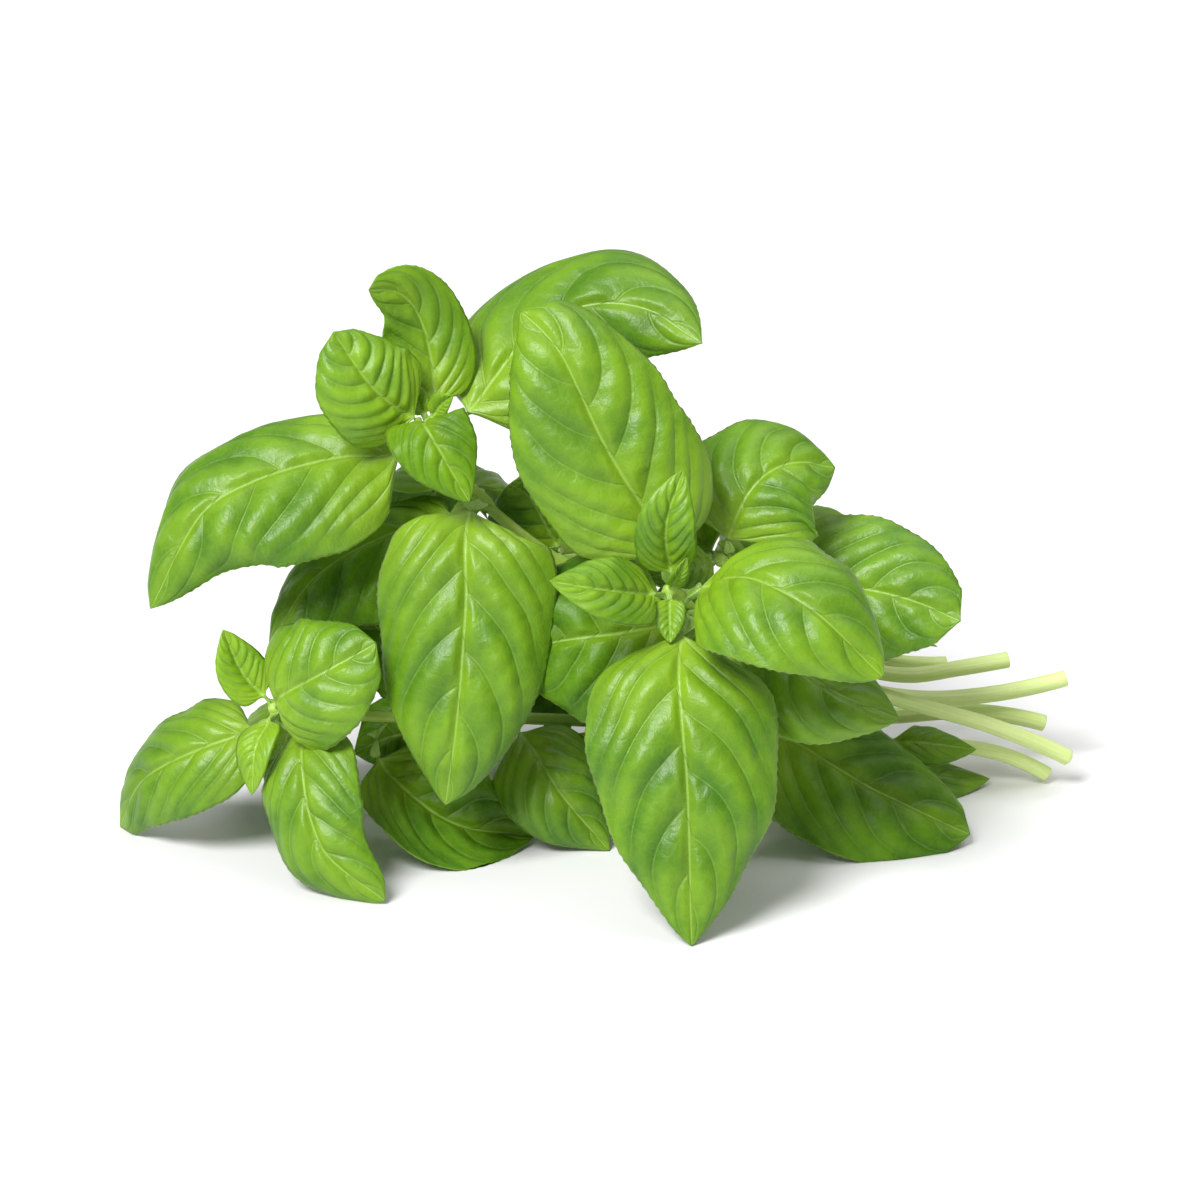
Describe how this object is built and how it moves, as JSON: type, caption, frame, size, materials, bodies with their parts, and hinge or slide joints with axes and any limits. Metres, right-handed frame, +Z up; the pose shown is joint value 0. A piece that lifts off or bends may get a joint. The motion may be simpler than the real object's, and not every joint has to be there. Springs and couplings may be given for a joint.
{
  "type": "bunch of cut basil sprigs",
  "caption": "Bunch of leafy sweet basil sprigs lying on its side, broad glossy leaves at one end and bare cut stems at the other.",
  "frame": {"origin": "bottom centre of the bunch's box, on the surface that it lies on", "axes": "+X towards the cut stem ends, along the bunch's length; -Y towards the side that is meant to be seen; +Z up"},
  "size_m": [0.233, 0.136, 0.1401],
  "materials": {
    "leaf_young": "satin",
    "leaf_bright": "satin",
    "leaf_deep": "satin",
    "stem_green": "satin"
  },
  "bodies": {
    "root": {"back_bud": "leaf_young", "back_leaf_drooping": "leaf_bright", "back_leaf_left": "leaf_bright", "back_leaf_right": "leaf_bright", "back_leaf_small": "leaf_young", "back_leaf_standing": "leaf_bright", "back_stem": "stem_green", "crown_bud_left": "leaf_young", "crown_bud_right": "leaf_young", "crown_leaf_behind": "leaf_bright", "crown_leaf_hanging": "leaf_bright", "crown_leaf_inner": "leaf_deep", "crown_leaf_left": "leaf_bright", "crown_leaf_rear": "leaf_bright", "crown_leaf_ribbed": "leaf_young", "crown_leaf_shaded": "leaf_deep", "crown_leaf_small": "leaf_deep", "crown_leaf_sweeping": "leaf_bright", "crown_leaf_upright": "leaf_bright", "crown_stem": "stem_green", "front_bud_lower": "leaf_young", "front_bud_upper": "leaf_young", "front_leaf_drooping": "leaf_bright", "front_leaf_inner": "leaf_deep", "front_leaf_right": "leaf_bright", "front_leaf_small_left": "leaf_young", "front_leaf_small_upright": "leaf_young", "front_leaf_standing": "leaf_bright", "front_leaf_under": "leaf_bright", "front_stem": "stem_green", "left_leaf_behind": "leaf_bright", "left_leaf_cupped": "leaf_deep", "left_leaf_domed": "leaf_bright", "left_leaf_front": "leaf_bright", "left_leaf_hidden": "leaf_deep", "left_leaf_inner": "leaf_deep", "left_leaf_long": "leaf_bright", "left_leaf_middle": "leaf_bright", "left_leaf_narrow": "leaf_young", "left_leaf_nodding": "leaf_young", "left_leaf_rising": "leaf_deep", "left_leaf_shaded": "leaf_deep", "left_stem": "stem_green", "low_leaf_behind": "leaf_bright", "low_leaf_far_right": "leaf_bright", "low_leaf_middle": "leaf_deep", "low_leaf_right": "leaf_deep", "low_leaf_rising": "leaf_deep", "low_leaf_tucked": "leaf_deep", "low_stem": "stem_green", "right_bud": "leaf_young", "right_leaf_behind": "leaf_bright", "right_leaf_inner": "leaf_deep", "right_leaf_left": "leaf_deep", "right_leaf_lower": "leaf_bright", "right_leaf_rear": "leaf_bright", "right_leaf_upper": "leaf_bright", "right_stem": "stem_green"}
  },
  "joints": []
}
